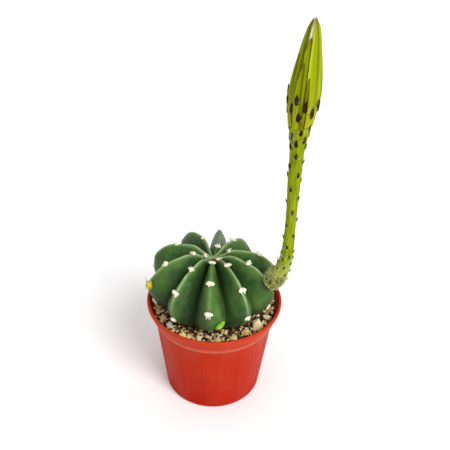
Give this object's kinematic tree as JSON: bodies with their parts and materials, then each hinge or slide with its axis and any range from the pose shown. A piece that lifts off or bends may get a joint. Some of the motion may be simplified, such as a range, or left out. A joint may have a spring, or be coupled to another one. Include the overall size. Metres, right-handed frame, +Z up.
{
  "type": "potted round cactus",
  "caption": "Ribbed globular cactus growing in gritty soil in a plastic nursery pot, with one tall, slender, unopened flower bud on a scaly tube.",
  "frame": {"origin": "centre of the pot's underside, where it rests", "axes": "+Z up along the pot's axis; the flower leans out towards +X and the side seen from the front faces -Y"},
  "size_m": [0.0992, 0.09, 0.2597],
  "materials": {
    "pot_plastic": "satin moulded polypropylene, terracotta orange-red",
    "soil": "dark damp peat and bark fines",
    "cactus_skin": "dark green waxy skin, paler along the ribs",
    "flower_tube": "yellow-green, matt, with fine hairs",
    "outer_tepals": "yellow-green with pale margins, soft sheen",
    "inner_petals": "cream, soft and matt",
    "bracts": "maroon-brown scales",
    "side_bud": "yellow-green, woolly",
    "basal_shoot": "fresh lime green",
    "pale_grit": "cream pumice, rough",
    "tan_grit": "tan pumice, rough"
  },
  "bodies": {
    "root": {"pot": "pot_plastic", "soil": "soil", "cactus_body": "cactus_skin", "flower_tube": "flower_tube", "inner_petals": "inner_petals", "side_bud": "side_bud", "basal_shoot": "basal_shoot", "tepal_1": "outer_tepals", "tepal_2": "outer_tepals", "tepal_3": "outer_tepals", "tepal_4": "outer_tepals", "tepal_5": "outer_tepals", "tepal_6": "outer_tepals", "tepal_7": "outer_tepals", "tepal_8": "outer_tepals", "bud_bract_1": "bracts", "bud_bract_2": "bracts", "bud_bract_3": "bracts", "bud_bract_4": "bracts", "bud_bract_5": "bracts", "bud_bract_6": "bracts", "stone_01": "pale_grit", "stone_02": "pale_grit", "stone_03": "tan_grit", "stone_04": "pale_grit", "stone_05": "pale_grit", "stone_06": "tan_grit", "stone_07": "pale_grit", "stone_08": "pale_grit", "stone_09": "tan_grit", "stone_10": "pale_grit", "stone_11": "pale_grit", "stone_12": "tan_grit", "stone_13": "pale_grit", "stone_14": "pale_grit", "stone_15": "tan_grit", "stone_16": "pale_grit", "stone_17": "pale_grit", "stone_18": "tan_grit", "stone_19": "pale_grit", "stone_20": "pale_grit", "stone_21": "tan_grit", "stone_22": "pale_grit"}
  },
  "joints": []
}
